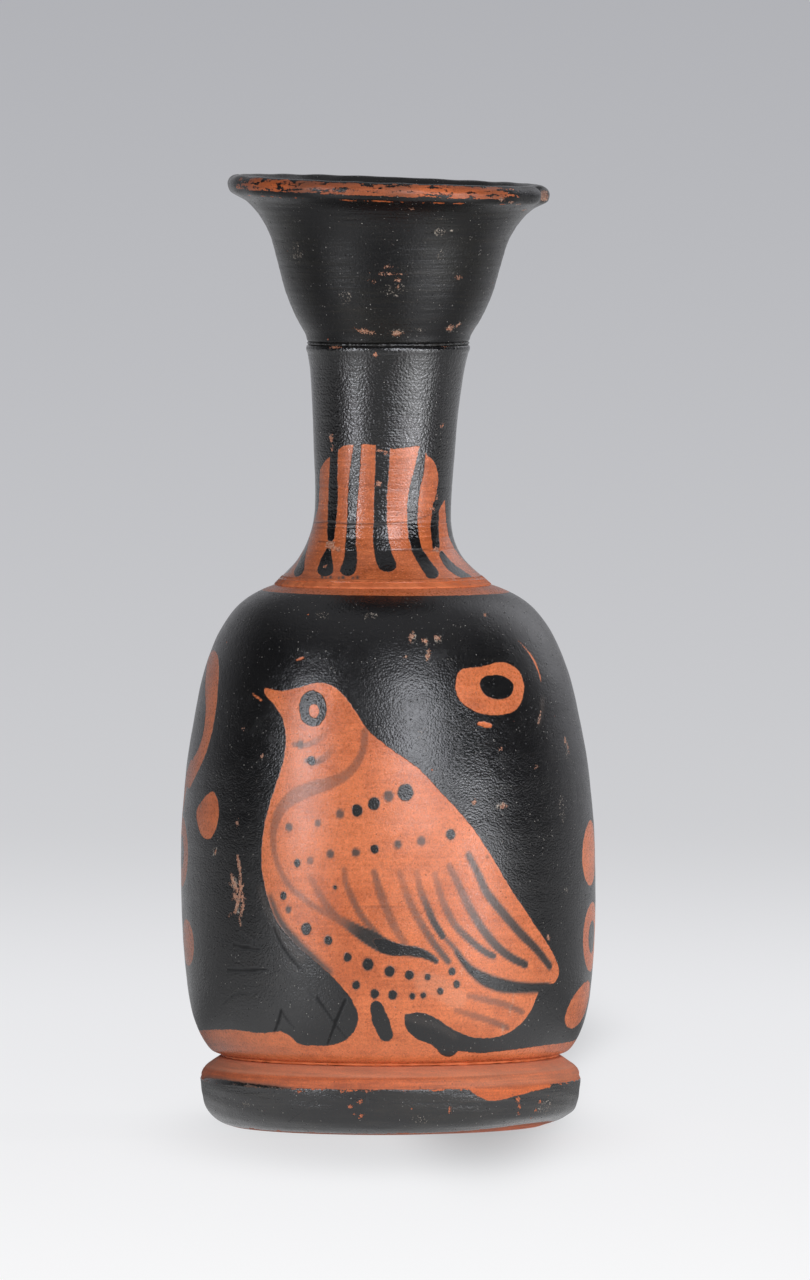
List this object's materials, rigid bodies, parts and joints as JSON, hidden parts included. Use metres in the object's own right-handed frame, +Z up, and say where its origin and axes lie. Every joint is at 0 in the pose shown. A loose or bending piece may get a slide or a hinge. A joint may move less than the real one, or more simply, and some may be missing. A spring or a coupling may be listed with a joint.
{
  "type": "lekythos",
  "caption": "Squat lekythos: small pottery oil jar with cup-shaped mouth, slim neck, strap handle behind, rounded body and ring foot, in black gloss with a reserved clay bird.",
  "frame": {"origin": "centre of the box around the vessel, on the surface that the foot stands on", "axes": "+Z up along the vessel's height, -Y towards the painted front, the handle at +Y"},
  "size_m": [0.0614, 0.0614, 0.1407],
  "materials": {
    "black_gloss": "fired black gloss slip over red clay, semi-gloss, pitted and worn to clay at the edges",
    "red_clay": "bare fired orange-red clay, matt"
  },
  "bodies": {
    "root": {"foot": "black_gloss", "foot_lute": "red_clay", "body": "black_gloss", "neck_lute": "red_clay", "neck": "black_gloss", "mouth_lute": "red_clay", "mouth": "black_gloss", "handle": "black_gloss", "handle_neck_lute": "red_clay", "handle_shoulder_lute": "red_clay"}
  },
  "joints": []
}
